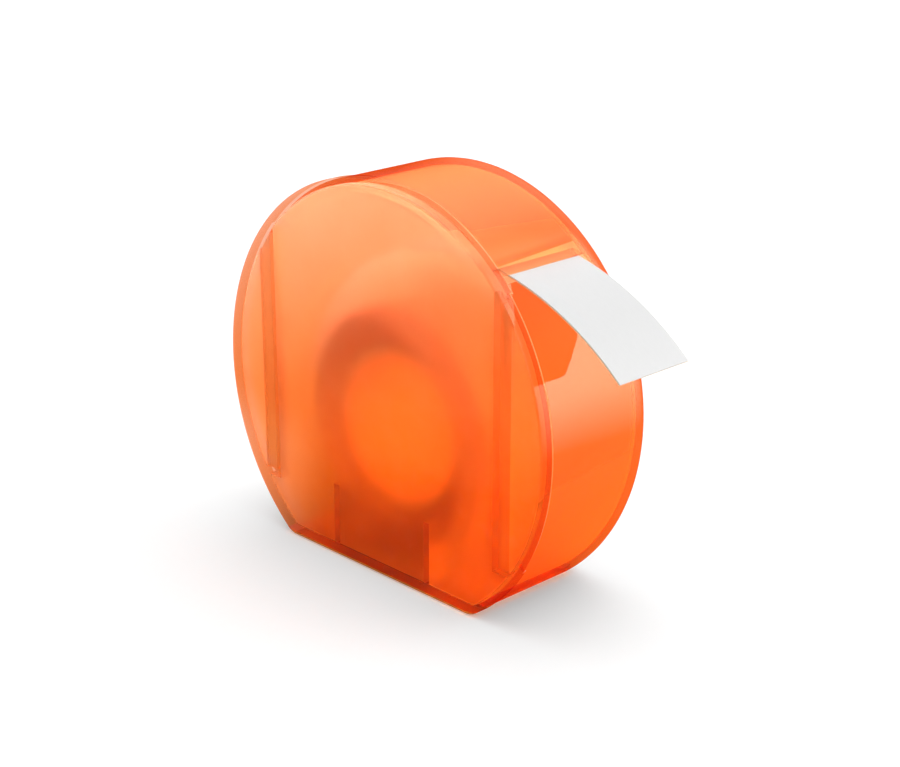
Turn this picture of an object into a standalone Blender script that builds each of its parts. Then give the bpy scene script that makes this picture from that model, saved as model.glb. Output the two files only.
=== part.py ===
"""Pocket label dispenser: a round two-part case with a flat base, a roll of labels that turns in
a cradle, and the strip of labels that it feeds out through an oblique slot.

The cover faces -Y, the slot is on the +X side and the base stands on z = 0. Lengths are in metres.
"""

import math

import bmesh
import bpy

# Round outline with a flat base, shared by the cover and the case
COVER_RADIUS = 0.0370
CENTRE_HEIGHT = 0.0296
CORNER_RADIUS = 0.0010
CORNER_LEAST = 0.0002
ARC_STEPS = 80
CORNER_STEPS = 4

# Case and cover, front face to back face
CASE_DEPTH = 0.0264
COVER_PLATE = 0.0012
COVER_SKIRT = 0.0012
SKIRT_DEPTH = 0.0032
SKIRT_PROUD = 0.00025
FRONT_FILLET = 0.0006
CASE_WALL = 0.0012
BACK_WALL = 0.0012
BACK_FILLET = 0.0044
FILLET_STEPS = 5
SEAM_GAP = 0.0003
OVERRUN = 0.0010

# Side lobes, where the skirt is shorter and a rail and a shelf stiffen the cover
LOBE_TOP_ANGLE = math.radians(41.8)
LOBE_BASE_HEIGHT = 0.0098
LOBE_STEP = 0.00055
RAIL_INNER = 0.0259
RAIL_THICKNESS = 0.0015
RAIL_DEPTH = 0.0014
PAD_WIDTH = 0.0022
PAD_DEPTH = 0.0005
SHELF_DROP = 0.0010
SHELF_THICKNESS = 0.0011

# Register tongues of the case, which plug into the cover's skirt
TONGUE_WALL = 0.0011
TONGUE_REACH = 0.0017
TONGUE_ROOT = 0.0015
TONGUE_START = math.radians(58)
TONGUE_END = math.radians(132)
TONGUE_SIDE_GAP = 0.0012
SWEEP_STEPS = 24

# Roll of labels on its core, and the cradle under it
ROLL_RADIUS = 0.0207
CORE_BORE_RADIUS = 0.0127
CORE_WALL = 0.0013
CORE_GAP = 0.0003
ROLL_FLOOR_SPACE = 0.0023
ROLL_FRONT_SPACE = 0.0035
WEB_WIDTH = 0.0146
RUN_GAP = 0.0003
RING_STEPS = 96
CRADLE_HALF_ANGLE = math.radians(32.1)
RIB_THICKNESS = 0.0013
RIB_HEIGHT = 0.0122
RIB_TAPER = 0.0008

# Strip of labels: it curls down outside the slot and runs in on the same arc
CURL_RADIUS = 0.0494
EXIT_ANGLE = math.radians(45)
EXIT_SLOPE = math.radians(13.5)
STRIP_OUT = 0.0250
PULL = 0.0200
STRIP_SPARE = 0.0040
BACKING_THICKNESS = 0.00015
LABEL_THICKNESS = 0.00012
GLUE_LINE = 0.00002
LABEL_LENGTH = 0.0290
LABEL_SPACING = 0.0020
LABEL_MARGIN = 0.0004
WEB_THICKNESS = 0.00020
LEAD_END_ANGLE = math.radians(12)
STRIP_STEPS = 30
SLOT_GAP = 0.00035
SLOT_SIDE = 0.0019

# Places that follow from the sizes above
FRONT_Y = -CASE_DEPTH / 2
BACK_Y = CASE_DEPTH / 2
PLATE_Y = FRONT_Y + COVER_PLATE
SKIRT_Y = FRONT_Y + SKIRT_DEPTH
LOBE_Y = SKIRT_Y - LOBE_STEP
CASE_RADIUS = COVER_RADIUS - SKIRT_PROUD
CASE_INNER_RADIUS = CASE_RADIUS - CASE_WALL
WEB_FRONT_Y = PLATE_Y + ROLL_FRONT_SPACE
WEB_BACK_Y = WEB_FRONT_Y + WEB_WIDTH
ROLL_HEIGHT = CASE_WALL + ROLL_FLOOR_SPACE + ROLL_RADIUS
RIB_X = ROLL_RADIUS * math.sin(CRADLE_HALF_ANGLE)
SLOT_BACK_Y = WEB_BACK_Y + SLOT_SIDE
EXIT_X = CASE_RADIUS * math.cos(EXIT_ANGLE)
EXIT_HEIGHT = CENTRE_HEIGHT + CASE_RADIUS * math.sin(EXIT_ANGLE)
CURL_X = EXIT_X - CURL_RADIUS * math.sin(EXIT_SLOPE)
CURL_HEIGHT = EXIT_HEIGHT - CURL_RADIUS * math.cos(EXIT_SLOPE)
STRIP_END = EXIT_SLOPE + STRIP_OUT / CURL_RADIUS
STRIP_START = EXIT_SLOPE - (PULL + STRIP_SPARE) / CURL_RADIUS


def clear_scene():
    for thing in list(bpy.data.objects):
        bpy.data.objects.remove(thing, do_unlink=True)


def material(name, colour, roughness, transmission=0.0):
    made = bpy.data.materials.new(name)
    made.use_nodes = True
    shader = made.node_tree.nodes["Principled BSDF"]
    shader.inputs["Base Color"].default_value = (*colour, 1.0)
    shader.inputs["Roughness"].default_value = roughness
    shader.inputs["Metallic"].default_value = 0.0
    shader.inputs["Transmission Weight"].default_value = transmission
    return made


def loft(name, loops, ring=False):
    """A closed skin through loops of equally many points, capped at both ends unless it is a ring."""
    skin = bmesh.new()
    rows = [[skin.verts.new(point) for point in loop] for loop in loops]
    pairs = list(zip(rows, rows[1:]))
    if ring:
        pairs.append((rows[-1], rows[0]))
    else:
        skin.faces.new(rows[0])
        skin.faces.new(rows[-1])
    for near, far in pairs:
        for index in range(len(near)):
            skin.faces.new((near[index - 1], near[index], far[index], far[index - 1]))
    bmesh.ops.recalc_face_normals(skin, faces=skin.faces)
    mesh = bpy.data.meshes.new(name)
    skin.to_mesh(mesh)
    skin.free()
    mesh.shade_smooth()
    mesh.set_sharp_from_angle(angle=math.radians(30))
    made = bpy.data.objects.new(name, mesh)
    bpy.context.scene.collection.objects.link(made)
    return made


def prism_along_y(name, outline, low_y, high_y):
    """An outline of (x, z) points carried from low_y to high_y."""
    return loft(name, [[(x, y, z) for x, z in outline] for y in (low_y, high_y)])


def prism_along_x(name, outline, low_x, high_x):
    """An outline of (y, z) points carried from low_x to high_x."""
    return loft(name, [[(x, y, z) for y, z in outline] for x in (low_x, high_x)])


def rectangle(low, high):
    return [(low[0], low[1]), (high[0], low[1]), (high[0], high[1]), (low[0], high[1])]


def sweep(name, profile, angles, ring=False):
    """A profile of (radius, y) points turned about the Y axis, at angles counted from +X up to +Z."""
    loops = []
    for angle in angles:
        across, up = math.cos(angle), math.sin(angle)
        loops.append([(radius * across, y, radius * up) for radius, y in profile])
    return loft(name, loops, ring)


def steps_between(start, end, count):
    return [start + (end - start) * step / count for step in range(count + 1)]


def full_turn(count):
    return [math.tau * step / count for step in range(count)]


def shape_with(body, operation, tool):
    """Joins a helper to a body or cuts it out, with the helper in the body's own frame."""
    tool.parent = body
    tool.hide_render = True
    tool.display_type = "WIRE"
    change = body.modifiers.new(tool.name, "BOOLEAN")
    change.operation = operation
    change.object = tool


def base_of(inset):
    """Height of the flat base above the round outline's centre, which is negative."""
    return inset - CENTRE_HEIGHT


def outline_loop(radius, inset, y):
    """Round outline with a flat base, drawn inset from its full size, about the round part's centre."""
    corner = max(CORNER_RADIUS - inset, CORNER_LEAST)
    round_radius = radius - inset
    corner_z = base_of(inset) + corner
    corner_x = math.sqrt((round_radius - corner) ** 2 - corner_z**2)
    lean = math.atan2(-corner_z, corner_x)
    quarter = math.pi / 2
    points = []
    for angle in steps_between(-lean, math.pi + lean, ARC_STEPS):
        points.append((round_radius * math.cos(angle), round_radius * math.sin(angle)))
    for angle in steps_between(math.pi + lean, math.pi + quarter, CORNER_STEPS)[1:]:
        points.append((corner * math.cos(angle) - corner_x, corner * math.sin(angle) + corner_z))
    for angle in steps_between(math.pi + quarter, math.tau - lean, CORNER_STEPS)[:-1]:
        points.append((corner * math.cos(angle) + corner_x, corner * math.sin(angle) + corner_z))
    return [(x, y, z) for x, z in points]


def fillet(radius, inset, face_y, inward):
    """(inset, y) pairs of a rounded edge, from the wall to the face; inward is the way into the solid."""
    pairs = []
    for angle in steps_between(0, math.pi / 2, FILLET_STEPS):
        past = radius * (1 - math.cos(angle))
        pairs.append((inset + past, face_y + inward * radius * (1 - math.sin(angle))))
    return pairs


def floor_under(across, inset):
    """Height of the outline at a distance across, about the round part's centre."""
    drop = math.sqrt((COVER_RADIUS - inset) ** 2 - across**2)
    return max(base_of(inset), -drop)


def wall_above(across, radius):
    return math.sqrt(radius**2 - across**2)


def lobe_outline(side):
    """The part of the outline that a side lobe takes up, from its level foot to its top angle."""
    foot_z = base_of(LOBE_BASE_HEIGHT)
    points = []
    for radius in (COVER_RADIUS + OVERRUN, COVER_RADIUS - COVER_SKIRT - OVERRUN):
        angles = steps_between(math.asin(foot_z / radius), LOBE_TOP_ANGLE, SWEEP_STEPS)
        arc = [(side * radius * math.cos(angle), radius * math.sin(angle)) for angle in angles]
        points += reversed(arc) if points else arc
    return points


def cover_rail(side):
    """Straight rail on the cover plate, from the shelf up to the skirt."""
    low_z = LOBE_BASE_HEIGHT - SHELF_DROP - CENTRE_HEIGHT
    mid_skirt = COVER_RADIUS - COVER_SKIRT / 2
    outer = RAIL_INNER + RAIL_THICKNESS
    outline = [(RAIL_INNER, low_z), (outer, low_z)]
    outline += [(outer, wall_above(outer, mid_skirt)), (RAIL_INNER, wall_above(RAIL_INNER, mid_skirt))]
    outline = [(side * x, z) for x, z in outline]
    return prism_along_y(f"rail_{side}", outline, PLATE_Y - COVER_PLATE / 2, PLATE_Y + RAIL_DEPTH)


def cover_pad(side):
    """Shallow thicker band on the cover plate, outside the rail."""
    low_z = LOBE_BASE_HEIGHT - SHELF_DROP - CENTRE_HEIGHT + SHELF_THICKNESS / 2
    mid_skirt = COVER_RADIUS - COVER_SKIRT / 2
    inner = RAIL_INNER + RAIL_THICKNESS / 2
    outer = RAIL_INNER + RAIL_THICKNESS + PAD_WIDTH
    outline = [(inner, low_z), (outer, low_z)]
    outline += [(outer, wall_above(outer, mid_skirt)), (inner, wall_above(inner, mid_skirt))]
    outline = [(side * x, z) for x, z in outline]
    return prism_along_y(f"pad_{side}", outline, PLATE_Y - COVER_PLATE / 2, PLATE_Y + PAD_DEPTH)


def cover_shelf(side):
    """Short shelf from the rail's foot out to the skirt."""
    low_z = LOBE_BASE_HEIGHT - SHELF_DROP - CENTRE_HEIGHT
    high_z = low_z + SHELF_THICKNESS
    mid_skirt = COVER_RADIUS - COVER_SKIRT / 2
    inner = RAIL_INNER + RAIL_THICKNESS / 2
    outline = [(inner, low_z), (wall_above(low_z, mid_skirt), low_z)]
    outline += [(wall_above(high_z, mid_skirt), high_z), (inner, high_z)]
    outline = [(side * x, z) for x, z in outline]
    return prism_along_y(f"shelf_{side}", outline, PLATE_Y - COVER_PLATE / 2, PLATE_Y + RAIL_DEPTH)


def cover_rib(side):
    """Upright rib that keeps the roll off the cover, stepped over the case's floor."""
    near, far = RIB_X - RIB_THICKNESS / 2, RIB_X + RIB_THICKNESS / 2
    skirt_z = floor_under(far, 0) + COVER_SKIRT / 2
    step_z = floor_under(far, SKIRT_PROUD) + CASE_WALL + SEAM_GAP
    step_y = SKIRT_Y - SEAM_GAP
    top_z = base_of(RIB_HEIGHT)
    plate_y = PLATE_Y - COVER_PLATE / 2
    end_y = WEB_FRONT_Y - RUN_GAP
    outline = [(plate_y, skirt_z), (step_y, skirt_z), (step_y, step_z), (end_y, step_z)]
    outline += [(end_y - RIB_TAPER, top_z), (plate_y, top_z)]
    return prism_along_x(f"cover_rib_{side}", outline, *sorted((side * near, side * far)))


def front_cover():
    """Flat plate with a shallow skirt, its rails, shelves and ribs."""
    profile = [(COVER_SKIRT, PLATE_Y), (COVER_SKIRT, SKIRT_Y), (0, SKIRT_Y)]
    profile += fillet(FRONT_FILLET, 0, FRONT_Y, 1)
    cover = loft("front_cover", [outline_loop(COVER_RADIUS, inset, y) for inset, y in profile])
    for side in (1, -1):
        lobe = prism_along_y(f"lobe_cut_{side}", lobe_outline(side), LOBE_Y, SKIRT_Y + OVERRUN)
        shape_with(cover, "DIFFERENCE", lobe)
        for piece in (cover_rail(side), cover_pad(side), cover_shelf(side), cover_rib(side)):
            shape_with(cover, "UNION", piece)
    return cover


def top_tongue():
    """Arched register tongue, with a root that joins it to the case's wall."""
    outer = COVER_RADIUS - COVER_SKIRT - SEAM_GAP
    inner = outer - TONGUE_WALL
    root = CASE_INNER_RADIUS + CASE_WALL / 2
    edge_y = SKIRT_Y + SEAM_GAP
    root_y = edge_y + SEAM_GAP
    back_y = root_y + TONGUE_ROOT
    tip_y = SKIRT_Y - TONGUE_REACH
    profile = [(inner, tip_y), (outer, tip_y), (outer, root_y), (root, root_y), (root, back_y)]
    profile.append((inner, back_y))
    return sweep("top_tongue", profile, steps_between(TONGUE_START, TONGUE_END, SWEEP_STEPS))


def base_tongue():
    """Straight register tongue along the floor, between the cover's ribs."""
    top_z = base_of(COVER_SKIRT + SEAM_GAP + TONGUE_WALL)
    tongue_z = base_of(COVER_SKIRT + SEAM_GAP)
    root_z = base_of(CASE_WALL / 2)
    root_y = SKIRT_Y + SEAM_GAP + SEAM_GAP
    back_y = root_y + TONGUE_ROOT
    tip_y = SKIRT_Y - TONGUE_REACH
    outline = [(tip_y, top_z), (back_y, top_z), (back_y, root_z), (root_y, root_z)]
    outline += [(root_y, tongue_z), (tip_y, tongue_z)]
    reach = RIB_X - RIB_THICKNESS / 2 - TONGUE_SIDE_GAP
    return prism_along_x("base_tongue", outline, -reach, reach)


def seam_recess():
    """What the longer skirt takes from the front edge of the case, over the top and along the base."""
    spread = SEAM_GAP / COVER_RADIUS
    start = LOBE_TOP_ANGLE - spread
    inner, outer = CASE_INNER_RADIUS - OVERRUN, COVER_RADIUS + OVERRUN
    front_y, back_y = LOBE_Y - OVERRUN, SKIRT_Y + SEAM_GAP
    over_top = rectangle((inner, front_y), (outer, back_y))
    yield sweep("top_recess", over_top, steps_between(start, math.pi - start, ARC_STEPS))
    low = (-COVER_RADIUS, base_of(-OVERRUN))
    high = (COVER_RADIUS, base_of(LOBE_BASE_HEIGHT + SEAM_GAP))
    yield prism_along_y("base_recess", rectangle(low, high), front_y, back_y)


def cradle_rib(side):
    """Upright rib under the roll, which also stands behind it and follows the rounded back edge."""
    near, far = RIB_X - RIB_THICKNESS / 2, RIB_X + RIB_THICKNESS / 2
    rise = floor_under(far, SKIRT_PROUD) - base_of(0)
    back_y = BACK_Y - BACK_WALL / 2
    edge = fillet(BACK_FILLET - BACK_WALL / 2, CASE_WALL / 2, back_y, -1)
    outline = [(WEB_FRONT_Y, rise + base_of(CASE_WALL / 2))]
    outline += [(y, rise + base_of(inset)) for inset, y in edge]
    outline += [(back_y, base_of(RIB_HEIGHT)), (WEB_FRONT_Y, base_of(RIB_HEIGHT))]
    return prism_along_x(f"cradle_rib_{side}", outline, *sorted((side * near, side * far)))


def roll_room():
    """The round space that the roll turns in, cut from the cradle."""
    radius = ROLL_RADIUS + RUN_GAP
    drop = ROLL_HEIGHT - CENTRE_HEIGHT
    circle = [(radius * math.cos(a), drop + radius * math.sin(a)) for a in full_turn(RING_STEPS)]
    return prism_along_y("roll_room", circle, WEB_FRONT_Y - OVERRUN, WEB_BACK_Y + RUN_GAP)


def strip_angles(start, end, count=STRIP_STEPS):
    """Angles for sweep between two places on the curl, which are counted from straight up."""
    return [math.pi / 2 - angle for angle in steps_between(start, end, count)]


def slot_cutter():
    """The channel of the strip through the wall, open towards the cover so that it can be threaded."""
    top = BACKING_THICKNESS + GLUE_LINE + LABEL_THICKNESS
    low = (CURL_RADIUS - SLOT_GAP, SKIRT_Y - TONGUE_REACH - OVERRUN)
    high = (CURL_RADIUS + top + SLOT_GAP, SLOT_BACK_Y)
    angles = strip_angles(STRIP_START, EXIT_SLOPE + STRIP_SPARE / CURL_RADIUS)
    cutter = sweep("slot_channel", rectangle(low, high), angles)
    cutter.location = (CURL_X, 0, CURL_HEIGHT - CENTRE_HEIGHT)
    return cutter


def rear_case():
    """Deep shell with a rounded back edge, its tongues, its cradle and the slot."""
    edge_y = LOBE_Y + SEAM_GAP
    inner_fillet = max(BACK_FILLET - BACK_WALL, CORNER_LEAST)
    inside = fillet(inner_fillet, CASE_WALL, BACK_Y - BACK_WALL, -1)
    profile = list(reversed(inside)) + [(CASE_WALL, edge_y), (0, edge_y)]
    profile += fillet(BACK_FILLET, 0, BACK_Y, -1)
    case = loft("rear_case", [outline_loop(CASE_RADIUS, inset, y) for inset, y in profile])
    for recess in seam_recess():
        shape_with(case, "DIFFERENCE", recess)
    for piece in (top_tongue(), base_tongue(), cradle_rib(1), cradle_rib(-1)):
        shape_with(case, "UNION", piece)
    shape_with(case, "DIFFERENCE", roll_room())
    shape_with(case, "DIFFERENCE", slot_cutter())
    return case


def ring(name, inner, outer):
    profile = rectangle((inner, WEB_FRONT_Y), (outer, WEB_BACK_Y))
    return sweep(name, profile, full_turn(RING_STEPS), ring=True)


def web_profile(low_radius, high_radius, margin):
    return rectangle((low_radius, WEB_FRONT_Y + margin), (high_radius, WEB_BACK_Y - margin))


def backing_strip():
    """Carrier of the labels, from its free end back along the curl into the case."""
    profile = web_profile(CURL_RADIUS, CURL_RADIUS + BACKING_THICKNESS, 0)
    return sweep("backing_strip", profile, strip_angles(STRIP_START, STRIP_END))


def label(name, start, end):
    low = CURL_RADIUS + BACKING_THICKNESS + GLUE_LINE
    profile = web_profile(low, low + LABEL_THICKNESS, LABEL_MARGIN)
    return sweep(name, profile, strip_angles(start, end))


def web_lead():
    """The web from the roll to the slot: the curl's own arc, then a tighter arc that meets the roll.

    The second arc is tangent to the first where the strip starts, and touches the roll's round from
    outside it, so the distance of its centre from the roll's is the difference of their radii.
    """
    outer = CURL_RADIUS - RUN_GAP
    roll = ROLL_RADIUS + RUN_GAP + WEB_THICKNESS
    away_x, away_z = CURL_X, CURL_HEIGHT - ROLL_HEIGHT
    join_x, join_z = math.sin(STRIP_START), math.cos(STRIP_START)
    spare = outer - roll
    along = away_x * join_x + away_z * join_z
    shift = (spare**2 - away_x**2 - away_z**2) / (2 * (along + spare))
    tight = outer - shift
    meet_angle = math.atan2(-(away_x + shift * join_x), -(away_z + shift * join_z))
    slot_end = EXIT_SLOPE - STRIP_SPARE / CURL_RADIUS
    first = [(0, 0, outer, a) for a in steps_between(slot_end, STRIP_START, STRIP_STEPS)]
    roll_end = meet_angle + LEAD_END_ANGLE
    second = [
        (shift * join_x, shift * join_z, tight, a)
        for a in steps_between(STRIP_START, roll_end, STRIP_STEPS)[1:]
    ]
    loops = []
    for centre_x, centre_z, radius, angle in first + second:
        loop = []
        for reach, y in web_profile(radius - WEB_THICKNESS, radius, 0):
            loop.append((centre_x + reach * math.sin(angle), y, centre_z + reach * math.cos(angle)))
        loops.append(loop)
    return loft("web_lead", loops)


def axis_empty(name, x, height):
    empty = bpy.data.objects.new(name, None)
    bpy.context.scene.collection.objects.link(empty)
    empty.location = (x, 0, height)
    return empty


def build():
    clear_scene()
    orange = material("translucent_orange", (1.0, 0.27, 0.05), 0.25, 0.6)
    card = material("core_card", (0.55, 0.42, 0.28), 0.85)
    paper = material("label_paper", (0.86, 0.85, 0.83), 0.6)
    glassine = material("backing_paper", (0.90, 0.90, 0.88), 0.35)

    case_axis = axis_empty("case_axis", 0, CENTRE_HEIGHT)
    roll_axis = axis_empty("roll_axis", 0, ROLL_HEIGHT)
    curl_axis = axis_empty("curl_axis", CURL_X, CURL_HEIGHT)

    gap_angle = LABEL_SPACING / CURL_RADIUS
    margin_angle = LABEL_MARGIN / CURL_RADIUS
    first_end = STRIP_END - margin_angle
    first_start = first_end - LABEL_LENGTH / CURL_RADIUS
    pieces = [
        (front_cover(), orange, case_axis),
        (rear_case(), orange, case_axis),
        (ring("roll_core", CORE_BORE_RADIUS, CORE_BORE_RADIUS + CORE_WALL), card, roll_axis),
        (ring("label_roll", CORE_BORE_RADIUS + CORE_WALL + CORE_GAP, ROLL_RADIUS), paper, roll_axis),
        (web_lead(), paper, curl_axis),
        (backing_strip(), glassine, curl_axis),
        (label("first_label", first_start, first_end), paper, curl_axis),
        (label("second_label", STRIP_START + margin_angle, first_start - gap_angle), paper, curl_axis),
    ]
    for piece, finish, axis in pieces:
        piece.data.materials.append(finish)
        piece.parent = axis


build()
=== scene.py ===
# %% [markdown]
# # A translucent label dispenser
# The real object is a pocket-sized round case of orange plastic with a flat base. It holds a roll of white
# labels, and the strip of labels comes out of an oblique slot at the upper right. The moving frame comes
# from the imported model; this script dresses it. We start by loading that frame and by reading the boxes
# of its parts, from which the sizes are taken.

import math

import bpy
import numpy as np
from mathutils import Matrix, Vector


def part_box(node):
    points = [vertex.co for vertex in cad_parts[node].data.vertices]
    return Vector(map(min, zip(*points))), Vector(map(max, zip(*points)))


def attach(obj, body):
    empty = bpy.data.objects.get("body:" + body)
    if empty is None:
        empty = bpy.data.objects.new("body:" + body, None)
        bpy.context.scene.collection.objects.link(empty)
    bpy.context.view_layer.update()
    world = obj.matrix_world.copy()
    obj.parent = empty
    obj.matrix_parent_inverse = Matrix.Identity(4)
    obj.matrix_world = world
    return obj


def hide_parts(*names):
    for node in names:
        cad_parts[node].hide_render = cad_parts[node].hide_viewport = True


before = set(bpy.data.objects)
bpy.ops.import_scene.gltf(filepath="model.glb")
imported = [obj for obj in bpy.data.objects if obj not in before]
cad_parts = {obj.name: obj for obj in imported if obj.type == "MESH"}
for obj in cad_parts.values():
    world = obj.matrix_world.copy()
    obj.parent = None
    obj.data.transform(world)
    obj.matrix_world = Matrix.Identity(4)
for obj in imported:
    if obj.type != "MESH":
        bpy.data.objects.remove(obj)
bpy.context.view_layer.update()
MM = 0.001

# %% [markdown]
# ## The camera
# The picture was taken from the upper right with a long lens. The outline of the case was matched to
# a round plate with a flat base, which gave the direction, the distance and the field of view. A
# camera looks along its own -Z axis, so `to_track_quat` turns that axis onto the viewing direction.

# %% Camera
CAMERA_AZIMUTH = math.radians(45.94)
CAMERA_ELEVATION = math.radians(19.96)
CAMERA_PLACE = Vector((207.61, -196.90, 134.04)) * MM
CAMERA_LENS = 73.55
SENSOR_WIDTH = 36.0
NEAREST_SEEN = 10 * MM


def direction(azimuth, elevation):
    """Unit vector from the object to a viewer: azimuth 0 is in front, 90 degrees is on the right."""
    level = math.cos(elevation)
    return Vector((math.sin(azimuth) * level, -math.cos(azimuth) * level, math.sin(elevation)))


camera_data = bpy.data.cameras.new("camera")
camera_data.lens = CAMERA_LENS
camera_data.sensor_width = SENSOR_WIDTH
camera_data.clip_start = NEAREST_SEEN
camera = bpy.data.objects.new("camera", camera_data)
bpy.context.scene.collection.objects.link(camera)
camera.location = CAMERA_PLACE
camera.rotation_mode = "QUATERNION"
camera.rotation_quaternion = (-direction(CAMERA_AZIMUTH, CAMERA_ELEVATION)).to_track_quat("-Z", "Y")
bpy.context.scene.camera = camera
bpy.context.scene.view_settings.view_transform = "Standard"
print("camera %.0f mm from the base" % (CAMERA_PLACE.length / MM))

# %% [markdown]
# ## Sizes
# Everything is built round a few sizes of the real case. The rest are wall thicknesses, roundings and
# gaps, as a moulded part has them.

# %% Sizes from the frame
cover_low, cover_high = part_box("front_cover")
case_low, case_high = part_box("rear_case")
roll_low, roll_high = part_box("label_roll")
core_low, core_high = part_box("roll_core")

COVER_RADIUS = cover_high.x
CENTRE_HEIGHT = cover_high.z - COVER_RADIUS
CASE_RADIUS = case_high.x
FRONT_Y = cover_low.y
BACK_Y = case_high.y
WEB_FRONT_Y = roll_low.y
WEB_BACK_Y = roll_high.y
ROLL_RADIUS = roll_high.x
ROLL_HEIGHT = (roll_low.z + roll_high.z) / 2
CORE_RADIUS = core_high.x
print("cover radius %.2f mm, round centre %.2f mm up" % (COVER_RADIUS / MM, CENTRE_HEIGHT / MM))

# %% Walls, roundings and the seam between cover and case
WALL = 1.2 * MM
CORNER = 3.4 * MM
CORNER_LEAST = 0.2 * MM
FRONT_FILLET = 0.6 * MM
BACK_FILLET = 4.4 * MM
INNER_ROUND = 0.3 * MM
EDGE_ROUND = 0.12 * MM
SKIRT_ROUND = 0.3 * MM
SEAM_CLOSED = 0.1 * MM
SEAM_GAP = 0.3 * MM
SKIRT_DEPTH = 3.2 * MM
LOBE_STEP = 0.55 * MM
LOBE_TOP_ANGLE = math.radians(41.8)
LOBE_FOOT = 9.8 * MM
PLATE_Y = FRONT_Y + WALL
SKIRT_Y = FRONT_Y + SKIRT_DEPTH
CASE_INNER_RADIUS = CASE_RADIUS - WALL
print("the cover's skirt reaches back to y = %.2f mm" % (SKIRT_Y / MM))

# %% [markdown]
# ## Surfaces from arrays
# A skin is a grid of points: one direction runs round a section, the other from section to section.
# Numpy works the whole grid out at once. Every skin here is closed, and which way its faces look is
# settled by the sign of the volume that it holds, so no piece can come out inside out. Each strip of
# faces also carries a kind: polished, frosted, an edge or channel, or part of a rib.

# %% Grid of points to mesh
GLOSSY, FROSTED, CHANNEL, RIB = 0, 1, 2, 3


def grid_mesh(name, points, kinds, ring=False):
    """Skin of an array (sections, points, 3): quads between neighbours, each section a closed loop.

    The first and the last section are closed by one face each, or joined to each other in a ring.
    kinds gives the kind of the strip of quads after each section.
    """
    sections, count = points.shape[:2]
    near = np.arange(sections * count).reshape(sections, count)
    far = np.roll(near, -1, axis=0)
    if not ring:
        near, far = near[:-1], far[:-1]
    quads = np.stack([near, np.roll(near, -1, 1), np.roll(far, -1, 1), far], -1).reshape(-1, 4)
    faces = quads.tolist()
    face_kinds = np.repeat(np.asarray(kinds)[: len(near)], count).tolist()
    if not ring:
        faces += [near[0][::-1].tolist(), far[-1].tolist()]
        face_kinds += [kinds[0], kinds[len(near) - 1]]
    mesh = bpy.data.meshes.new(name)
    mesh.from_pydata(points.reshape(-1, 3).tolist(), [], faces)
    mesh.polygons.foreach_set("material_index", np.array(face_kinds, np.int32))
    return turned_outward(mesh)


def turned_outward(mesh):
    """Turns all faces outward: the sum of a . (b x c) over the triangles is negative on a wrong skin."""
    mesh.calc_loop_triangles()
    corners = np.empty(len(mesh.loop_triangles) * 3, np.int32)
    mesh.loop_triangles.foreach_get("vertices", corners)
    places = np.empty(len(mesh.vertices) * 3, np.float32)
    mesh.vertices.foreach_get("co", places)
    a, b, c = places.reshape(-1, 3)[corners.reshape(-1, 3)].transpose(1, 0, 2).astype(float)
    if np.einsum("ij,ij->i", a, np.cross(b, c)).sum() < 0:
        mesh.flip_normals()
    return mesh


# %% [markdown]
# ## The outline of the case
# Seen from the front, cover and case share one outline: a round plate with a flat base and two small
# corners. An offset of it, such as the inner side of a wall, has the same number of points, so that
# sections at different offsets can be joined into a skin. The side lobes of the cover, where its skirt
# is shorter, begin and end at sharp steps, so two close columns of points stand at each step.

# %% Outline
ARC_COLUMNS = 300
CORNER_COLUMNS = 7
STEP_SHARE = 0.00012


def corner_of(radius, inset):
    """Radius, distance across and height of a base corner's centre, and how far down the arc runs."""
    corner = max(CORNER - inset, CORNER_LEAST)
    height = inset - CENTRE_HEIGHT + corner
    across = math.sqrt((radius - inset - corner) ** 2 - height**2)
    return corner, across, height, math.atan2(-height, across)


def arc_shares(radius, stops):
    """Shares of the way round the arc, with a close pair of columns at each stop and its mirror."""
    lean = corner_of(radius, 0)[3]
    whole = math.pi + 2 * lean
    pairs = [(angle + lean) / whole + side * STEP_SHARE for angle in stops for side in (-1, 1)]
    pairs += [1 - share for share in pairs]
    return np.unique(np.concatenate([np.linspace(0, 1, ARC_COLUMNS), pairs]))


def outline(radius, inset, shares):
    """Offset outline as (x, z) about the round centre: r (cos a, sin a) for the arc and both corners."""
    corner, across, height, lean = corner_of(radius, inset)
    arc = -lean + shares * (math.pi + 2 * lean)
    down = 1.5 * math.pi
    left = np.linspace(math.pi + lean, down, CORNER_COLUMNS)[1:]
    right = np.linspace(down, math.tau - lean, CORNER_COLUMNS)[:-1]
    big = (radius - inset) * np.stack([np.cos(arc), np.sin(arc)], -1)
    painted_low_left_light = corner * np.stack([np.cos(left), np.sin(left)], -1) + (-across, height)
    low_right = corner * np.stack([np.cos(right), np.sin(right)], -1) + (across, height)
    return np.concatenate([big, painted_low_left_light, low_right])


# %% A shell from its outline
ROUND_ROWS = 5
FILLET_ROWS = 12


def rounded(inset, y, over, along, rows=ROUND_ROWS):
    """(inset, y) rows of a quarter ellipse from a wall to a face.

    It leaves the wall, which is at this inset, a way along from the face, which is at this y, and
    meets the face a way over from the wall.
    """
    angle = np.linspace(0, math.pi / 2, rows)
    return list(zip(inset + over * (1 - np.cos(angle)), y + along * (1 - np.sin(angle))))


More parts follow.
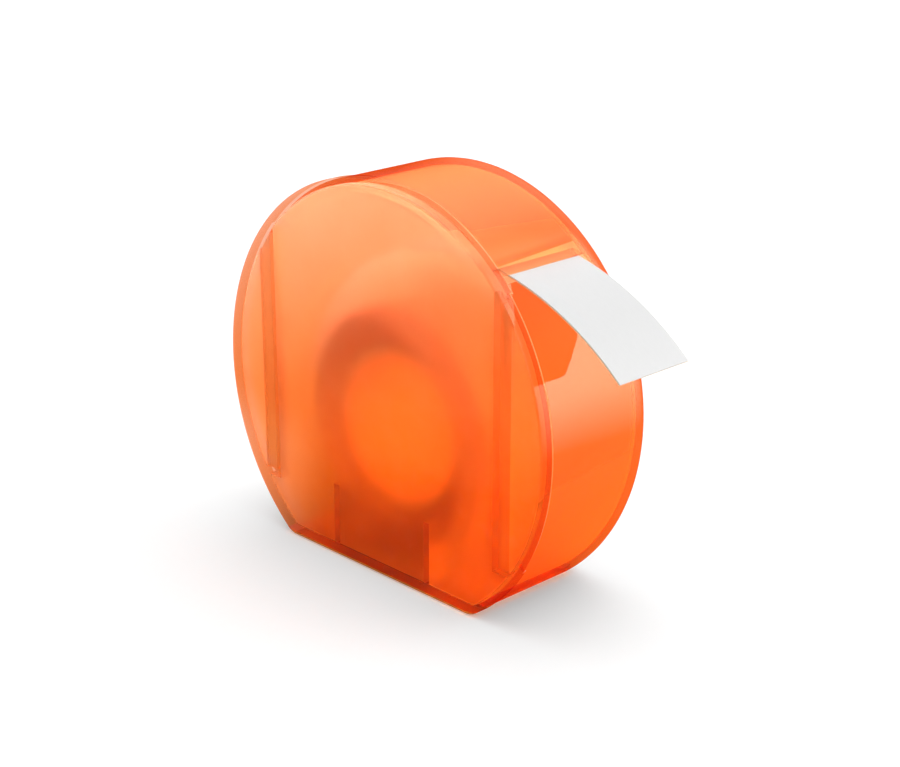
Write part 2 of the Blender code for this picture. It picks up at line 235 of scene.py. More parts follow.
def shell(name, radius, inner_rows, edge_rows, outer_rows, stops):
    """Closed shell: the offset outline carried along a section of (inset, y) rows.

    Its inner rows are frosted and its outer rows are glossy. The edge rows between them follow the
    stepped seam: they stand nearer to the front where a column lies in a side lobe, which is between
    the two angles given as stops.
    """
    shares = arc_shares(radius, stops)
    plain = outline(radius, 0, shares)
    angle = np.arctan2(plain[:, 1], np.abs(plain[:, 0]))
    forward = LOBE_STEP * ((angle < max(stops)) & (angle > min(stops)))
    sections = []
    for rows, follows in ((inner_rows, 0), (edge_rows, 1), (outer_rows, 0)):
        for inset, y in rows:
            x, z = outline(radius, inset, shares).T
            sections.append(np.stack([x, y - follows * forward, z + CENTRE_HEIGHT], -1))
    edge = len(edge_rows) - 1
    kinds = [FROSTED] * len(inner_rows) + [CHANNEL] * edge
    kinds += [GLOSSY] * (len(sections) - len(kinds))
    return grid_mesh(name, np.array(sections), kinds)


# %% [markdown]
# ## Prisms and sweeps
# Ribs, rails and tongues are simpler: a plane outline carried straight along an axis, or a section
# turned about one. Both are the same grid of points with another formula.

# %% Prisms and sweeps
ALONG_X, ALONG_Y = 0, 1


def prism(name, sides, low, high, axis, kind=FROSTED):
    """A plane outline of (y, z) or (x, z) points carried along X or Y from low to high."""
    flat = np.asarray(sides, float)
    points = np.empty((2, len(flat), 3))
    points[:, :, axis] = [[low], [high]]
    points[:, :, 1 - axis], points[:, :, 2] = flat.T
    return grid_mesh(name, points, [kind, kind])


def swept(name, section, angles, centre, kind, ring=False):
    """A (radius, y) section turned about an axis along Y: x = r sin a, z = r cos a from the centre."""
    radius, y = np.asarray(section, float).T
    angle = np.asarray(angles)[:, None]
    x = centre[0] + radius * np.sin(angle)
    z = centre[1] + radius * np.cos(angle)
    points = np.stack([x, np.broadcast_to(y, x.shape), z], -1)
    return grid_mesh(name, points, [kind] * len(points), ring)


def rectangle(low, high):
    """Four corners from the lowest to the highest."""
    return [(low[0], low[1]), (high[0], low[1]), (high[0], high[1]), (low[0], high[1])]


# %% [markdown]
# ## Joining and cutting
# A moulded part is one piece of plastic: its ribs, rails and tongues are melted into the wall. The
# Boolean modifier does that here, and material slots carry the kind of each face through it. The
# result is read back as a mesh at once, and its kinds become face attributes. One material can then
# serve the whole closed shell, which light needs in order to know where the plastic begins and ends.

# %% Boolean helper and face attributes
FROSTED_MARK, CHANNEL_MARK, UNDERSIDE_MARK, RIB_MARK = "frosted", "channel", "underside", "rib"
BASE_ROUND = 0.7 * MM


def carved(mesh, joins=(), cuts=()):
    """The mesh with others joined to it and others cut out of it."""
    things = []
    for part in (mesh, *joins, *cuts):
        for kind in (GLOSSY, FROSTED, CHANNEL, RIB):
            part.materials.append(None)
        thing = bpy.data.objects.new(part.name, part)
        bpy.context.scene.collection.objects.link(thing)
        things.append(thing)
    body, tools = things[0], things[1:]
    for index, tool in enumerate(tools):
        change = body.modifiers.new(tool.name, "BOOLEAN")
        change.operation = "UNION" if index < len(joins) else "DIFFERENCE"
        change.object = tool
    graph = bpy.context.evaluated_depsgraph_get()
    made = bpy.data.meshes.new_from_object(body.evaluated_get(graph), depsgraph=graph)
    name = mesh.name
    for thing in things:
        used = thing.data
        bpy.data.objects.remove(thing)
        bpy.data.meshes.remove(used)
    made.name = name
    return marked(made)


def marked(mesh):
    """Turns the kind of each face into attributes, and marks the faces that rest on the floor."""
    kinds = np.empty(len(mesh.polygons), np.int32)
    mesh.polygons.foreach_get("material_index", kinds)
    centres = np.empty(len(mesh.polygons) * 3, np.float32)
    mesh.polygons.foreach_get("center", centres)
    under = centres[2::3] < BASE_ROUND
    marks = {
        FROSTED_MARK: (kinds == FROSTED) | (kinds == RIB) | under,
        CHANNEL_MARK: kinds == CHANNEL,
        UNDERSIDE_MARK: under,
        RIB_MARK: kinds == RIB,
    }
    for name, mark in marks.items():
        mesh.attributes.new(name, "FLOAT", "FACE").data.foreach_set("value", mark.astype(np.float32))
    mesh.materials.clear()
    print(mesh.name, "has", {name: int(mark.sum()) for name, mark in marks.items()})
    return mesh


# %% [markdown]
# ## Shader maths as Python
# Node trees are easier to read as sums. The class wraps one output of a node, and its operators add
# the Math nodes that work a sum out. A finish is a small object that holds one material: its method
# `node` makes any node from its type, its settings and the values or wires of its sockets.

# %% Wires
CLEAR = (1.0, 1.0, 1.0, 1.0)
FINE_DETAIL = 3.0


class Wire:
    """One output socket of a shader node, with arithmetic."""

    def __init__(self, finish, socket):
        self.finish, self.socket = finish, socket

    def __add__(self, other):
        return self.finish.maths("ADD", self, other)

    def __sub__(self, other):
        return self.finish.maths("SUBTRACT", self, other)

    def __rsub__(self, other):
        return self.finish.maths("SUBTRACT", other, self)

    def __mul__(self, other):
        return self.finish.maths("MULTIPLY", self, other)

    def __truediv__(self, other):
        return self.finish.maths("DIVIDE", self, other)

    def __rtruediv__(self, other):
        return self.finish.maths("DIVIDE", other, self)

    def __pow__(self, other):
        return self.finish.maths("POWER", self, other)

    __radd__ = __add__
    __rmul__ = __mul__


# %% Finishes
class Finish:
    """One material, or the world, built node by node."""

    def __init__(self, name, owner=None):
        self.material = owner or bpy.data.materials.new(name)
        self.material.use_nodes = True
        self.tree = self.material.node_tree
        self.tree.nodes.clear()

    def node(self, kind, settings=None, sockets=None, out=0):
        """Adds a node: settings first, then the values or wires of its sockets. Returns an output."""
        made = self.tree.nodes.new(kind)
        for key, value in (settings or {}).items():
            setattr(made, key, value)
        for key, value in (sockets or {}).items():
            if isinstance(value, Wire):
                self.tree.links.new(value.socket, made.inputs[key])
            else:
                made.inputs[key].default_value = value
        return Wire(self, made.outputs[out] if made.outputs else None)

    def maths(self, operation, first, second=0.0):
        return self.node("ShaderNodeMath", {"operation": operation}, {0: first, 1: second})

    def step(self, value, low, high, kind="SMOOTHSTEP"):
        """0 below low and 1 above high; the other way round where low is the larger one."""
        sockets = {"Value": value, 1: low, 2: high}
        return self.node("ShaderNodeMapRange", {"interpolation_type": kind}, sockets)

    def dot(self, first, second):
        """Dot product: how far one vector reaches along another."""
        sockets = {0: first, 1: second}
        return self.node("ShaderNodeVectorMath", {"operation": "DOT_PRODUCT"}, sockets, out="Value")

    def place(self):
        """The x, y and height of the point, in the piece's own coordinates."""
        place = self.node("ShaderNodeTexCoord", out="Object")
        return [self.node("ShaderNodeSeparateXYZ", {}, {0: place}, out=axis) for axis in "XYZ"]

    def noise(self, scale, detail=2.0, stretch=(1, 1, 1)):
        """Noise about one half; stretch scales the coordinates, so a small number draws it out."""
        place = self.node("ShaderNodeTexCoord", out="Object")
        place = self.node("ShaderNodeMapping", {}, {"Vector": place, "Scale": stretch})
        return self.node("ShaderNodeTexNoise", {}, {"Vector": place, "Scale": scale, "Detail": detail})

    def bumped(self, height, distance):
        return self.node("ShaderNodeBump", {}, {"Height": height, "Distance": distance, "Strength": 1.0})

    def face_mark(self, name):
        """An attribute of the mesh: 1 on the marked faces and 0 on the others."""
        return self.node("ShaderNodeAttribute", {"attribute_name": name}, out="Fac")

    def mixed(self, share, first, second):
        """Mix of two colours by a share."""
        return self.node("ShaderNodeMix", {"data_type": "RGBA"}, {0: share, 6: first, 7: second}, out=2)

    def blended(self, share, first, second):
        """Mix of two shaders by a share."""
        return self.node("ShaderNodeMixShader", {}, {0: share, 1: first, 2: second})

    def see_through(self, tint):
        """Lets light pass straight on and tints it."""
        return self.node("ShaderNodeBsdfTransparent", {}, {"Color": tint})

    def surface(self, shader, **volume):
        """Ends the material with its surface, and its volume where there is one, and returns it."""
        self.node("ShaderNodeOutputMaterial", {}, {"Surface": shader, **volume})
        print("finish", self.material.name, "has", len(self.tree.nodes), "nodes")
        return self.material


def grey(value):
    return (value, value, value, 1.0)


# %% [markdown]
# ## Orange plastic: the tint, with painted light and shade
# The shells are moulded of a clear, tinted plastic. A tint could come from the depth of plastic alone, but
# walls of 1.2 mm are too thin for that to be seen in a clean model, so light that passes a polished face is
# tinted there. The tint also paints light and shade: it is pale near the top as painted light, where more
# light falls, and deep near the base as painted shade. Faint upright streaks are added, as melted plastic
# leaves them when it fills a mould. On the cover the painted shade leans to the right, and painted light
# makes its lower left corner lighter.

# %% Tint of the cover
COVER_PAINTED_LIT_TINT = (1.0, 0.84, 0.88, 1.0)
COVER_PAINTED_SHADE_TINT = (0.93, 0.385, 0.07, 1.0)
PAINTED_SHADE_BELOW = 18 * MM
PAINTED_LIGHT_ABOVE = 72 * MM
COVER_PAINTED_LEAN_LEFT = 0.5
COVER_PAINTED_LEAN_RIGHT = 0.15
PAINTED_LIGHT_LEFT_X = (-11 * MM, -24 * MM)
PAINTED_LIGHT_LEFT_HEIGHT = (26 * MM, 14 * MM)
PAINTED_LIGHT_LEFT_SHARE = 0.5
STREAK_SCALE = 110.0
STREAK_STRETCH = (1, 0.1, 1)
STREAK_SHARE = 0.22
SKIRT_DEEP = 0.65
SKIRT_INSIDE_DEEP = 0.75


def painted_light_with_streaks(finish, level):
    """Share of the pale tint: painted light that rises evenly with the level, with upright streaks added.
    """
    streaks = (finish.noise(STREAK_SCALE, FINE_DETAIL, STREAK_STRETCH) - 0.5) * STREAK_SHARE
    return finish.step(level, PAINTED_SHADE_BELOW, PAINTED_LIGHT_ABOVE, "LINEAR") + streaks


def cover_tint(finish, inside_out):
    """Tint of the cover, and the share of the rim's colour on its skirt.

    The level is the height less x times a lean, which is larger on the left than on the right, so the
    painted shade leans to the right. Painted light lifts the lower left corner, and the rim's colour on the
    skirt is stronger where the painted shade is deeper.
    """
    x, y, height = finish.place()
    # Painted shade leans to the right, and painted light lifts the lower left corner.
    painted_lean = finish.maths("MINIMUM", x * COVER_PAINTED_LEAN_LEFT, x * COVER_PAINTED_LEAN_RIGHT)
    painted_low_left_light = finish.step(x, *PAINTED_LIGHT_LEFT_X) * finish.step(height, *PAINTED_LIGHT_LEFT_HEIGHT)
    painted_light_streaked = painted_light_with_streaks(finish, height - painted_lean) + painted_low_left_light * PAINTED_LIGHT_LEFT_SHARE
    tint = finish.blended(painted_light_streaked, finish.see_through(COVER_PAINTED_SHADE_TINT), finish.see_through(COVER_PAINTED_LIT_TINT))
    deeper = finish.maths("MAXIMUM", (1.0 - painted_light_streaked) * SKIRT_DEEP, inside_out * SKIRT_INSIDE_DEEP)
    return tint, finish.step(y, FRONT_Y, FRONT_Y + FRONT_FILLET) * deeper


# %% [markdown]
# The case has two narrow marks under its slot, where the wall is bevelled to let the strip out: the
# bevel is thin and looks light, and the edge below it looks dark. They are too shallow to be seen as
# shape, so they are bands of the tint. A plane through the round's centre line touches the slot, and
# each band lies between two distances from that plane.

# %% Tint of the case
CASE_PAINTED_LIT_TINT = (1.0, 0.42, 0.27, 1.0)
CASE_PAINTED_SHADE_TINT = (0.97, 0.38, 0.095, 1.0)
LIP_ANGLE = math.radians(45.95)
LIP_LENGTH = 2.2 * MM
LIP_SKEW = 0.053
LIP_LINE = 0.15 * MM
LIP_FADE = 1.7 * MM
LIP_END_Y = 7.6 * MM
LIP_TINT = (1.0, 0.60, 0.31, 1.0)


def case_tint(finish, inside_out):
    """Tint of the case, and the share of the rim's colour under the slot.

    past_lip is the distance from the plane of the slot, which is turned a little about the height.
    """
    x, y, height = finish.place()
    # The tint is painted light and shade: pale high up and deep near the base.
    painted_light_streaked = painted_light_with_streaks(finish, height)
    tint = finish.blended(painted_light_streaked, finish.see_through(CASE_PAINTED_SHADE_TINT), finish.see_through(CASE_PAINTED_LIT_TINT))
    past_lip = (height - CENTRE_HEIGHT) * math.cos(LIP_ANGLE) - x * math.sin(LIP_ANGLE) - y * LIP_SKEW
    near_slot = finish.step(y, LIP_END_Y + LIP_LINE, LIP_END_Y) * finish.step(x, 0.0, LIP_LINE)
    lip_end = LIP_LENGTH + LIP_LINE
    light = finish.step(past_lip, -LIP_LINE, 0.0) * finish.step(past_lip, lip_end, LIP_LENGTH)
    dark = finish.step(past_lip, LIP_LENGTH, lip_end) * finish.step(past_lip, lip_end + LIP_FADE, lip_end)
    return finish.blended(light * near_slot, tint, finish.see_through(LIP_TINT)), dark * near_slot


# %% [markdown]
# ## Orange plastic: the polished side
# The outer side is polished. It lets light pass straight through, and mirrors a small part of it. A
# wall seen edge-on holds a long way of plastic, so it looks dark orange: `Facing` of Layer Weight to a
# high power gives that rim. The faces of the seam stay nearly untinted, or the seam would be a thick
# red line. The picture's shadow is a neutral grey, so to light that the floor has scattered, the
# shell is plain grey near its base.

# %% Polished side
POLISH_ROUGHNESS = 0.04
POLISH_SPREAD = 0.03
POLISH_SCALE = 500.0
WAVE_SCALE = 70.0
WAVE_HEIGHT = 0.02 * MM
GLOSS_TINT = (1.0, 1.0, 0.72, 1.0)
RIM_TINT = (0.80, 0.26, 0.03, 1.0)
RIM_POWER = 6.0
EDGE_TINTED = 0.6
FLOOR_SEES = 0.42
GREY_BELOW = 34 * MM
GREY_NONE = 50 * MM


def polished_side(finish, mirrored, tint, deeper, inside_out):
    """Polished plastic: the tint, with the rim's colour where it is seen edge-on or marked deeper."""
    facing = finish.node("ShaderNodeLayerWeight", out="Facing")
    rim_share = finish.maths("MAXIMUM", facing**RIM_POWER, deeper)
    tint = finish.blended(rim_share, tint, finish.see_through(RIM_TINT))
    untinted = finish.face_mark(CHANNEL_MARK) * (1.0 - inside_out * EDGE_TINTED)
    tint = finish.blended(untinted, tint, finish.see_through(CLEAR))
    waves = finish.bumped(finish.noise(WAVE_SCALE), WAVE_HEIGHT)
    polish = (finish.noise(POLISH_SCALE, FINE_DETAIL) - 0.5) * POLISH_SPREAD + POLISH_ROUGHNESS
    look = {"Color": GLOSS_TINT, "Roughness": polish, "Normal": waves}
    gloss = finish.node("ShaderNodeBsdfAnisotropic", {}, look)
    polished = finish.blended(mirrored, tint, gloss)
    plain = finish.node("ShaderNodeBsdfDiffuse", {}, {"Color": grey(FLOOR_SEES)})
    height = finish.place()[2]
    scattered = finish.node("ShaderNodeLightPath", out="Is Diffuse Ray")
    greyed = scattered * (1.0 - inside_out) * finish.step(height, GREY_NONE, GREY_BELOW, "LINEAR")
    return finish.blended(greyed, polished, plain)


# %% [markdown]
# ## Orange plastic: the frosted side
# The inner side of the mould is blasted, so light is spread where it crosses the inner side. What
# touches it, such as a rail, stays crisp, and what lies further behind, such as the roll, is blurred.
# A rough glass spreads light narrowly and a translucent surface widely; a mix of the two gives the soft
# edge of the roll. Two things complete the finish: the depth of the plastic absorbs some light, and the
# underside, where the case rests on the floor, is a dark dull orange that paints the shade there.

# %% Frosted side and the whole finish
FROST_NARROW = 0.83
NARROW_IOR = 1.2
NARROW_ROUGHNESS = 0.75
GRAIN_SCALE = 2500.0
GRAIN_SPREAD = 0.12
FROST_BACK = 0.06
RIB_BACK = 0.4
BACK_TINT = (0.72, 0.38, 0.06, 1.0)
UNDERSIDE_PAINTED_SHADE = (0.58, 0.19, 0.01, 1.0)
UNDERSIDE_SHADE_SHARE = 0.8
DEPTH_COLOUR = (0.95, 0.76, 0.50, 1.0)
DEPTH_DENSITY = 200.0


def frosted_side(finish):
    """Blasted plastic: most light goes through and is spread, a little is thrown back, more by ribs."""
    wide = finish.node("ShaderNodeBsdfTranslucent", {}, {"Color": CLEAR})
    grain = (finish.noise(GRAIN_SCALE) - 0.5) * GRAIN_SPREAD + NARROW_ROUGHNESS
    look = {"Color": CLEAR, "Roughness": grain, "IOR": NARROW_IOR}
    narrow = finish.node("ShaderNodeBsdfGlass", {"distribution": "MULTI_GGX"}, look)
    through = finish.blended(FROST_NARROW, wide, narrow)
    back = finish.node("ShaderNodeBsdfDiffuse", {}, {"Color": BACK_TINT})
    return finish.blended(finish.face_mark(RIB_MARK) * RIB_BACK + FROST_BACK, through, back)


def moulded_plastic(name, mirrored, tint_of):
    """Plastic whose faces are polished, frosted or resting, as the attributes of the mesh say; the resting
    faces carry painted shade.
    """
    finish = Finish(name)
    inside_out = finish.node("ShaderNodeNewGeometry", out="Backfacing")
    tint, deeper = tint_of(finish, inside_out)
    polished = polished_side(finish, mirrored, tint, deeper, inside_out)
    surface = finish.blended(finish.face_mark(FROSTED_MARK), polished, frosted_side(finish))
    # Painted shade: the faces that rest on the floor are mostly a dark dull orange.
    painted_underside_shade = finish.node("ShaderNodeBsdfDiffuse", {}, {"Color": UNDERSIDE_PAINTED_SHADE})
    surface = finish.blended(finish.face_mark(UNDERSIDE_MARK) * UNDERSIDE_SHADE_SHARE, surface, painted_underside_shade)
    look = {"Color": DEPTH_COLOUR, "Density": DEPTH_DENSITY}
    return finish.surface(surface, Volume=finish.node("ShaderNodeVolumeAbsorption", {}, look))


cover_plastic = moulded_plastic("cover_plastic", mirrored=0.009, tint_of=cover_tint)
case_plastic = moulded_plastic("case_plastic", mirrored=0.017, tint_of=case_tint)

# %% [markdown]
# ## Paper and card
# Paper is pressed fibre, so its colour and its surface vary over tenths of a millimetre, more along
# the web than across it. The roll shows the edges of its turns as fine rings of slightly different
# colour, and the card core shows the joints of its spirally wound ply. Thin paper also lets light
# through: `through` is the share that it passes on.

# %% Paper
FIBRE_SCALE = 2600.0
FIBRE_STRETCH = (0.35, 1, 0.35)
FIBRE_SHADE = 0.94
FIBRE_PART = 0.6
FIBRE_HEIGHT = 0.012 * MM
CLOUD_SCALE = 300.0
PAPER_SPREAD = 0.1
MARK_SHADE = 0.62


def shaded(colour, share):
    return (colour[0] * share, colour[1] * share, colour[2] * share, 1.0)


def paper_finish(name, colour, roughness, through=0.0, marks=None):
    """Fibrous paper or card; marks is a function that gives the share of darker lines on it."""
    finish = Finish(name)
    fibres = finish.noise(FIBRE_SCALE, FINE_DETAIL, FIBRE_STRETCH)
    clouds = finish.noise(CLOUD_SCALE)
    worn = fibres * FIBRE_PART + clouds * (1 - FIBRE_PART)
    tone = finish.mixed(worn, colour, shaded(colour, FIBRE_SHADE))
    if marks:
        tone = finish.mixed(marks(finish), tone, shaded(colour, MARK_SHADE))
    relief = finish.bumped(fibres, FIBRE_HEIGHT)
    look = {"Base Color": tone, "Roughness": (fibres - 0.5) * PAPER_SPREAD + roughness, "Normal": relief}
    shader = finish.node("ShaderNodeBsdfPrincipled", {}, look)
    if through:
        sent = finish.node("ShaderNodeBsdfTranslucent", {}, {"Color": colour, "Normal": relief})
        shader = finish.blended(through, shader, sent)
    return finish.surface(shader)


label_paper = paper_finish("label_paper", grey(0.635), roughness=0.6)
backing_paper = paper_finish("backing_paper", (0.95, 0.80, 0.54, 1.0), roughness=0.4, through=0.6)
web_paper = paper_finish("web_paper", grey(0.97), roughness=0.6, through=0.75)

# %% Marks on the roll and on the core
TURN_SCALE = 1400.0
TURN_PART = 0.5
PLY_WIDTH = 16 * MM
PLY_LINE = 0.03


def turn_edges(finish):
    """Noise along the radius, the root of x squared plus height squared from the roll's axis."""
    x, y, height = finish.place()
    height = height - ROLL_HEIGHT
    radius = finish.maths("SQRT", x * x + height * height)
    line = finish.node("ShaderNodeCombineXYZ", {}, {"X": radius})
    return finish.node("ShaderNodeTexNoise", {}, {"Vector": line, "Scale": TURN_SCALE}) * TURN_PART


def ply_joints(finish):
    """Thin spiral line: the part after the point of turns about the axis plus y over the ply's width."""
    x, y, height = finish.place()
    turned = finish.maths("ARCTAN2", height - ROLL_HEIGHT, x) * (1 / math.tau)
    spiral = finish.maths("FRACT", turned + y * (1 / PLY_WIDTH))
    return finish.step(spiral, PLY_LINE, 0.0)


CARD_BROWN = (0.74, 0.49, 0.27, 1.0)
# The roll's side is amber: partly the yellowish backing at the edges of its turns, partly painted shade for
# the dim inside of the case.
ROLL_SIDE_AND_PAINTED_SHADE = (0.97, 0.55, 0.24, 1.0)
core_card = paper_finish("core_card", CARD_BROWN, roughness=0.9, marks=ply_joints)
roll_paper_painted_shade = paper_finish("roll_paper_painted_shade", ROLL_SIDE_AND_PAINTED_SHADE, roughness=0.7, through=0.4, marks=turn_edges)

# %% [markdown]
# ## Pieces
# Every piece is a mesh with its place in its points, so its object stays at the origin. Weighted
# normals keep the large flat faces flat and let only the narrow roundings shade from one to the other.
# Each piece rides on a body of the frame and stands in for the plainer solids that it replaces.

# %% Adding a piece
SHARP_ANGLE = math.radians(28)


def add_piece(mesh, body, finish, stands_for):
    """Makes a piece of a mesh, with smooth faces and crisp edges, and lets it ride on a body."""
    mesh.shade_smooth()
    mesh.set_sharp_from_angle(angle=SHARP_ANGLE)
    mesh.materials.append(finish)
    piece = bpy.data.objects.new(mesh.name, mesh)
    bpy.context.scene.collection.objects.link(piece)
    flat = piece.modifiers.new("flat_faces", "WEIGHTED_NORMAL")
    flat.keep_sharp = True
    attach(piece, body)
    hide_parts(stands_for)
    print("made", piece.name, "with", len(mesh.polygons), "faces")


# %% [markdown]
# ## Front cover
# The cover is a flat plate with a low skirt round its edge. On its inner side stand two long rails
# near the edge, each with a shallow thicker band outside it and a short shelf at its foot, and two
# ribs near the base that keep the roll from rubbing. Each is drawn as a plane outline whose far
# corners lie on a circle inside the skirt, so that it grows out of the skirt without a gap.

# %% Cover sizes
RAIL_INNER = 25.9 * MM
RAIL_THICKNESS = 1.5 * MM
RAIL_DEPTH = 1.4 * MM
BAND_WIDTH = 2.2 * MM
BAND_DEPTH = 0.5 * MM
SHELF_DROP = 1.0 * MM
SHELF_THICKNESS = 1.1 * MM
RIB_ANGLE = math.radians(32.1)
RIB_X = ROLL_RADIUS * math.sin(RIB_ANGLE)
RIB_THICKNESS = 1.3 * MM
RIB_TOP = 12.2 * MM
RIB_TAPER = 0.8 * MM
RUN_GAP = 0.3 * MM
RAIL_OUTER = RAIL_INNER + RAIL_THICKNESS
RAIL_MIDDLE = RAIL_INNER + RAIL_THICKNESS / 2
SHELF_LOW = LOBE_FOOT - SHELF_DROP
SHELF_HIGH = SHELF_LOW + SHELF_THICKNESS
SHELF_MIDDLE = SHELF_LOW + SHELF_THICKNESS / 2
IN_SKIRT = COVER_RADIUS - WALL / 2
IN_PLATE = PLATE_Y - WALL / 2


def height_on(radius, across):
    """Height at which a circle about the round centre stands over a distance across."""
    return CENTRE_HEIGHT + math.sqrt(radius**2 - across**2)


def reach_at(radius, height):
    """Distance across at which a circle about the round centre has a height."""
    return math.sqrt(radius**2 - (height - CENTRE_HEIGHT) ** 2)


# %% Rails, bands and shelves
def upright_band(name, side, inner, outer, low, depth):
    """Band on the plate from a height up into the skirt, between two distances across."""
    corners = [(inner, low), (outer, low)]
    corners += [(across, height_on(IN_SKIRT, across)) for across in (outer, inner)]
    return prism(name, [(side * x, z) for x, z in corners], IN_PLATE, PLATE_Y + depth, ALONG_Y, RIB)


def shelf(name, side):
    """Short shelf from the foot of a rail out into the skirt."""
    corners = [(RAIL_MIDDLE, SHELF_LOW), (reach_at(IN_SKIRT, SHELF_LOW), SHELF_LOW)]
    corners += [(reach_at(IN_SKIRT, SHELF_HIGH), SHELF_HIGH), (RAIL_MIDDLE, SHELF_HIGH)]
    return prism(name, [(side * x, z) for x, z in corners], IN_PLATE, PLATE_Y + RAIL_DEPTH, ALONG_Y, RIB)


# %% Ribs of cover and case
def rib(name, side, sides, kind):
    """Upright rib: a plane outline of (y, z) points carried across the rib's thickness."""
    near, far = RIB_X - RIB_THICKNESS / 2, RIB_X + RIB_THICKNESS / 2
    return prism(f"{name}_{side}", sides, *sorted((side * near, side * far)), ALONG_X, kind)


def cover_rib(side):
    """Tapered rib from the plate to just short of the roll, stepped over the floor of the case."""
    step_y = SKIRT_Y - SEAM_GAP
    step_z = COVER_RADIUS - CASE_RADIUS + WALL + SEAM_GAP
    end_y = WEB_FRONT_Y - RUN_GAP
    sides = [(IN_PLATE, WALL / 2), (step_y, WALL / 2), (step_y, step_z), (end_y, step_z)]
    sides += [(end_y - RIB_TAPER, RIB_TOP), (IN_PLATE, RIB_TOP)]
    return rib("rib", side, sides, RIB)


def cradle_rib(side):
    """Rib under and behind the roll, which follows the rounded back edge inside its wall."""
    back_y = BACK_Y - WALL / 2
    foot = rounded(WALL / 2, back_y, BACK_FILLET - WALL / 2, WALL / 2 - BACK_FILLET)
    sides = [(WEB_FRONT_Y, WALL / 2), *((y, inset) for inset, y in foot)]
    sides += [(back_y, RIB_TOP), (WEB_FRONT_Y, RIB_TOP)]
    return rib("cradle_rib", side, sides, FROSTED)


# %% Cover
cover_stops = (math.asin((LOBE_FOOT - CENTRE_HEIGHT) / COVER_RADIUS), LOBE_TOP_ANGLE)
skirt_y = SKIRT_Y + SEAM_CLOSED
cover_skin = shell(
    "cover_shell",
    COVER_RADIUS,
    rounded(WALL, PLATE_Y, INNER_ROUND, INNER_ROUND)[::-1],
    rounded(WALL, skirt_y, -EDGE_ROUND, -EDGE_ROUND) + rounded(0, skirt_y, SKIRT_ROUND, -SKIRT_ROUND)[::-1],
    rounded(0, FRONT_Y, FRONT_FILLET, FRONT_FILLET, FILLET_ROWS),
    cover_stops,
)
features = []
for side in (-1, 1):
    features.append(upright_band(f"rail_{side}", side, RAIL_INNER, RAIL_OUTER, SHELF_LOW, RAIL_DEPTH))
    band_edges = (RAIL_MIDDLE, RAIL_OUTER + BAND_WIDTH)
    features.append(upright_band(f"band_{side}", side, *band_edges, SHELF_MIDDLE, BAND_DEPTH))
    features.append(shelf(f"shelf_{side}", side))
    features.append(cover_rib(side))
add_piece(carved(cover_skin, joins=features), "cover", cover_plastic, "front_cover")

# %% [markdown]
# ## Rear case
# The case is deep, with a largely rounded back edge. Its front edge is recessed where the cover's
# skirt is longer. Inside stand two cradle ribs with a round hollow in which the roll turns, and two
# tongues that plug into the cover. The slot is an arched channel through the wall, on the same curl
# as the strip, so that the strip can slide in it without touching.

# %% Case sizes
TONGUE_WALL = 1.1 * MM
TONGUE_REACH = 1.7 * MM
TONGUE_ROOT = 1.5 * MM
TONGUE_SPAN = (math.radians(-42), math.radians(32))
TONGUE_SIDE_GAP = 1.2 * MM
TONGUE_TIP_Y = SKIRT_Y - TONGUE_REACH
TONGUE_ROOT_Y = SKIRT_Y + 2 * SEAM_GAP
TONGUE_BACK_Y = TONGUE_ROOT_Y + TONGUE_ROOT
OVERRUN = 1.0 * MM
ROUND_CENTRE = (0, CENTRE_HEIGHT)
TONGUE_COLUMNS = 90
ROOM_COLUMNS = 160


def top_tongue():
    """Arched tongue under the cover's skirt, with a root in the wall."""
    outer = COVER_RADIUS - WALL - SEAM_GAP
    inner = outer - TONGUE_WALL
    root = CASE_INNER_RADIUS + WALL / 2
    section = [(inner, TONGUE_TIP_Y), (outer, TONGUE_TIP_Y), (outer, TONGUE_ROOT_Y)]
    section += [(root, TONGUE_ROOT_Y), (root, TONGUE_BACK_Y), (inner, TONGUE_BACK_Y)]
    return swept("top_tongue", section, np.linspace(*TONGUE_SPAN, TONGUE_COLUMNS), ROUND_CENTRE, FROSTED)


def base_tongue():
    """Straight tongue along the floor, between the cover's ribs."""
    low = WALL + SEAM_GAP
    high = low + TONGUE_WALL
    root_z = COVER_RADIUS - CASE_RADIUS + WALL / 2
    sides = [(TONGUE_TIP_Y, high), (TONGUE_BACK_Y, high), (TONGUE_BACK_Y, root_z)]
    sides += [(TONGUE_ROOT_Y, root_z), (TONGUE_ROOT_Y, low), (TONGUE_TIP_Y, low)]
    reach = RIB_X - RIB_THICKNESS / 2 - TONGUE_SIDE_GAP
    return prism("base_tongue", sides, -reach, reach, ALONG_X)


def roll_room():
    """Round room of the roll, a little larger than the roll: r (cos a, sin a) carried along Y."""
    turn = np.linspace(0, math.tau, ROOM_COLUMNS, endpoint=False)
    circle = (ROLL_RADIUS + RUN_GAP) * np.stack([np.cos(turn), np.sin(turn)], -1) + (0, ROLL_HEIGHT)
    return prism("roll_room", circle, WEB_FRONT_Y - OVERRUN, WEB_BACK_Y + RUN_GAP, ALONG_Y)


